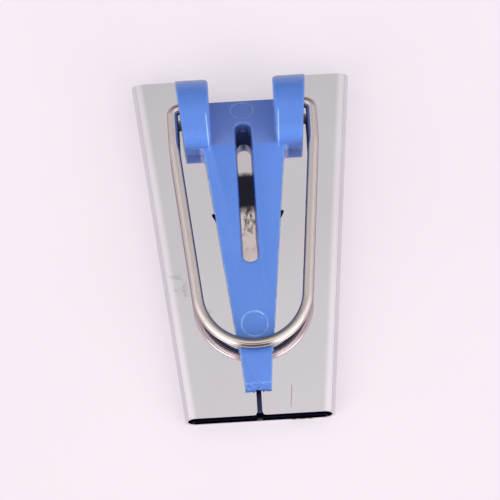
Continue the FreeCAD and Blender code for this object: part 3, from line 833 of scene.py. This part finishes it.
def add(tree, kind, **links):
    """Node whose inputs, named with _ for a space, are linked or set."""
    node = tree.nodes.new(kind)
    for name, value in links.items():
        feed(tree, node.inputs[name.replace("_", " ")], value)
    return node


def capture(tree, geometry, value, kind="FLOAT"):
    """Geometry that remembers a value, and the value as it was there."""
    node = tree.nodes.new("GeometryNodeCaptureAttribute")
    node.capture_items.new(kind, "kept")
    tree.links.new(geometry, node.inputs["Geometry"])
    tree.links.new(value, node.inputs["kept"])
    return node.outputs["Geometry"], node.outputs["kept"]


tree = wire_tree()
given = tree.nodes.new("NodeGroupInput").outputs
print("inputs:", [item.name for item in tree.interface.items_tree if item.in_out == "INPUT"])

# %% [markdown]
# A real wire is bent over round pins, so each corner of the route becomes an arc of its own
# radius. The length along the path and the place on the section are captured here, while
# they are still known.

# %% Path with round corners, and the round section
bend = maths(tree, "MULTIPLY", tree.nodes.new("GeometryNodeInputRadius").outputs[0],
             given["Bend unit"])
corners = tree.nodes.new("GeometryNodeFilletCurve")
corners.mode = "POLY"
for name, source in (("Curve", given["Geometry"]), ("Count", given["Steps in a bend"]),
                     ("Radius", bend)):
    tree.links.new(source, corners.inputs[name])
even = add(tree, "GeometryNodeSetCurveRadius", Curve=corners.outputs["Curve"], Radius=1.0)
along = tree.nodes.new("GeometryNodeSplineParameter")
path, run_along = capture(tree, even.outputs["Curve"], along.outputs["Length"])
circle = add(tree, "GeometryNodeCurvePrimitiveCircle", Resolution=given["Steps round"],
             Radius=maths(tree, "MULTIPLY", given["Wire diameter"], 0.5))
spot = tree.nodes.new("GeometryNodeInputPosition")
section, run_round = capture(tree, circle.outputs["Curve"], spot.outputs[0], "VECTOR")
print("nodes for the path and its section:", len(tree.nodes))

# %% [markdown]
# The section is swept along the path and closed at both ends. The place is stored on the
# mesh as an attribute, which the finish reads, and the tree ends by making its result real
# and giving it its material.

# %% Sweep the section and keep its place
tube = add(tree, "GeometryNodeCurveToMesh", Curve=path, Profile_Curve=section, Fill_Caps=True)
sides = add(tree, "ShaderNodeSeparateXYZ", Vector=run_round)
where = add(tree, "ShaderNodeCombineXYZ", X=maths(tree, "DIVIDE", sides.outputs["X"], MM),
            Y=maths(tree, "DIVIDE", sides.outputs["Y"], MM),
            Z=maths(tree, "DIVIDE", run_along, MM))
kept = tree.nodes.new("GeometryNodeStoreNamedAttribute")
kept.data_type = "FLOAT_VECTOR"
kept.inputs["Name"].default_value = "wire_place"
tree.links.new(tube.outputs["Mesh"], kept.inputs["Geometry"])
tree.links.new(where.outputs[0], kept.inputs["Value"])
real = add(tree, "GeometryNodeRealizeInstances", Geometry=kept.outputs["Geometry"])
smooth = add(tree, "GeometryNodeSetShadeSmooth", Geometry=real.outputs["Geometry"])
plated = add(tree, "GeometryNodeSetMaterial", Geometry=smooth.outputs["Geometry"])
plated.inputs["Material"].default_value = PLATED_WIRE
result = tree.nodes.new("NodeGroupOutput")
tree.links.new(plated.outputs["Geometry"], result.inputs["Geometry"])
print("nodes in the wire tree:", len(tree.nodes))

# %% [markdown]
# The wire's diameter is set on the modifier by the identifier of its input, and the other
# inputs keep their own values. The result is then made a plain mesh, and the curve that
# carried it is removed.

# %% Make the wire a mesh
maker = bail.modifiers.new("bend_wire", "NODES")
maker.node_group = tree
for item in tree.interface.items_tree:
    if item.in_out == "INPUT" and item.name == "Wire diameter":
        maker[item.identifier] = WIRE * MM
bpy.context.view_layer.update()
evaluated = bail.evaluated_get(bpy.context.evaluated_depsgraph_get())
wire_mesh = bpy.data.meshes.new_from_object(evaluated)
bpy.data.objects.remove(bail)
wire = bpy.data.objects.new("bail_wire", wire_mesh)
bpy.context.scene.collection.objects.link(wire)
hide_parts("wire_bail")
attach(wire, "bail")
size_mm = [round(side / MM, 2) for side in wire.dimensions]
print("wire faces:", len(wire_mesh.polygons), "size in mm:", size_mm)

# %% [markdown]
# ## Floor
# The tool lies on a pale board with a faint warm pink cast. It keeps a soft contact shadow.
# Half of what the camera and the mirror-bright metal see of it is its own plain colour, so
# the background is as pale as it should be with no extra light on the tool.

# %% Pale floor
GLOW_SHARE = 0.5
GLOW = 1.12
# Half of the board's side, in metres.
BOARD_HALF = 3


def pale_board():
    finish, tree, shader = new_finish("pale_board")
    grain = pattern(tree, "Noise", Scale=14.0, Detail=3.0)
    tone = ramp(tree, grain, (0.3, (0.810, 0.743, 0.803)), (0.7, (0.830, 0.763, 0.823)))
    tree.links.new(tone, shader.inputs["Base Color"])
    shader.inputs["Roughness"].default_value = 0.9
    shader.inputs["Specular IOR Level"].default_value = 0.1
    glow = tree.nodes.new("ShaderNodeEmission")
    glow.inputs["Strength"].default_value = GLOW
    tree.links.new(tone, glow.inputs["Color"])
    rays = tree.nodes.new("ShaderNodeLightPath")
    seen = maths(tree, "MAXIMUM", rays.outputs["Is Camera Ray"], rays.outputs["Is Glossy Ray"])
    board = tree.nodes.new("ShaderNodeMixShader")
    tree.links.new(maths(tree, "MULTIPLY", seen, GLOW_SHARE), board.inputs[0])
    tree.links.new(shader.outputs[0], board.inputs[1])
    tree.links.new(glow.outputs[0], board.inputs[2])
    tree.links.new(board.outputs[0], tree.nodes["Material Output"].inputs["Surface"])
    return finish


data = bpy.data.meshes.new("board")
ends = [(x * BOARD_HALF, y * BOARD_HALF, 0) for x, y in ((-1, -1), (1, -1), (1, 1), (-1, 1))]
data.from_pydata(ends, [], [(0, 1, 2, 3)])
data.materials.append(pale_board())
board = bpy.data.objects.new("board", data)
bpy.context.scene.collection.objects.link(board)
print("board placed at z = 0")

# %% [markdown]
# ## Light
# The photo's light is a bright soft tent. Lamps could light it, but so bright a metal would
# show each of them as a hard streak, so the world gives all the light. A patch of the tent
# is a ramp over how near a direction is to the patch's centre.

# %% Directions in the world
scene = bpy.context.scene
scene.view_settings.view_transform = "Standard"
world = bpy.data.worlds.new("tent")
scene.world = world
world.use_nodes = True
sky = world.node_tree
direction = sky.nodes.new("ShaderNodeTexCoord").outputs["Generated"]
parts = sky.nodes.new("ShaderNodeSeparateXYZ")
sky.links.new(direction, parts.inputs[0])
sideways, backward, upward = parts.outputs


def patch(centre, *stops):
    """Ramp over the closeness of a direction to a patch's centre."""
    toward = sky.nodes.new("ShaderNodeVectorMath")
    toward.operation = "DOT_PRODUCT"
    toward.inputs[1].default_value = Vector(centre).normalized()
    sky.links.new(direction, toward.inputs[0])
    return ramp(sky, toward.outputs["Value"], *stops)


print("world:", world.name)

# %% [markdown]
# The tent is nearly white overhead and falls off towards the back. Two soft boxes stand low
# at the front left and the front right, with a dark opening between them, and the camera
# is a small darker spot above. The tent is darker at its foot, and a faint band above that
# is a seam. The wire mirrors all of this, so these few patches draw its dark and bright
# lines.

# %% The tent, its opening and its soft boxes
STRENGTH = 1.55
SOFT_BOX = 1.2
# The falloff runs from 0 at the front to 1 at the back.
turned = sky.nodes.new("ShaderNodeMapRange")
turned.inputs["From Min"].default_value = -1.0
sky.links.new(backward, turned.inputs["Value"])
falloff = ramp(sky, turned.outputs["Result"], (0.0, 1.0), (0.5, 1.0), (0.615, 0.70),
               (0.675, 0.585), (0.75, 0.44), (0.85, 0.26), (1.0, 0.10))
walls = ramp(sky, maths(sky, "ABSOLUTE", sideways), (0.0, 0.82), (0.5, 0.96), (0.78, 1.0),
             (0.9, 0.93), (1.0, 1.0))
foot_and_seam = ramp(sky, upward, (0.0, 0.5), (0.06, 0.6), (0.12, 1.0), (0.25, 1.0),
                     (0.30, 0.86), (0.35, 1.0))
opening = patch((0, -0.93, 0.37), (0.86, 1.0), (0.91, 0.13))
camera_spot = patch((0, -0.358, 0.934), (0.965, 1.0), (0.985, 0.25))
tent = falloff
for shade in (walls, foot_and_seam, opening, camera_spot):
    tent = mix(sky, "MULTIPLY", 1.0, tent, shade)
for side in (1, -1):
    soft_box = patch((side * 0.66, -0.66, 0.36), (0.89, 0.0), (0.955, 1.0))
    tent = mix(sky, "ADD", soft_box, tent, (SOFT_BOX,) * 3)
sky.links.new(tent, sky.nodes["Background"].inputs["Color"])
sky.nodes["Background"].inputs["Strength"].default_value = STRENGTH
print("nodes in the tent:", len(sky.nodes))

# %% [markdown]
# ## Camera
# The photo was taken from above and a little to the front, with a long lens. A camera set
# by eye would make the taper look wrong, so its place, lens and small roll were worked out
# from points of the tool in the picture.

# %% Camera
AZIMUTH, ELEVATION, ROLL = (math.radians(a) for a in (1.07, 69.0, -2.36))
# Across the tool, along it from the exit, and above the board, in millimetres.
CAMERA_PLACE = (-3.32, -145.72, 466.34)
# The lens's length in pixels of a picture this wide, and the sensor's width in millimetres.
FOCAL, PICTURE, SENSOR = 2700, 500, 36
forward = Vector((math.sin(AZIMUTH) * math.cos(ELEVATION),
                  math.cos(AZIMUTH) * math.cos(ELEVATION), -math.sin(ELEVATION)))
level = Vector((math.cos(AZIMUTH), -math.sin(AZIMUTH), 0))
rise = level.cross(forward)
across = math.cos(ROLL) * level + math.sin(ROLL) * rise
above = -math.sin(ROLL) * level + math.cos(ROLL) * rise
lens = bpy.data.cameras.new("photo_camera")
lens.sensor_width = SENSOR
lens.lens = FOCAL / PICTURE * SENSOR
lens.clip_start = 0.01
camera = bpy.data.objects.new("photo_camera", lens)
scene.collection.objects.link(camera)
x, y, z = CAMERA_PLACE
camera.location = Vector((x, y - LENGTH / 2, z)) * MM
camera.rotation_euler = Matrix((across, above, -forward)).transposed().to_euler()
scene.camera = camera
print("camera", [round(c / MM, 1) for c in camera.location], "mm, lens", lens.lens, "mm")
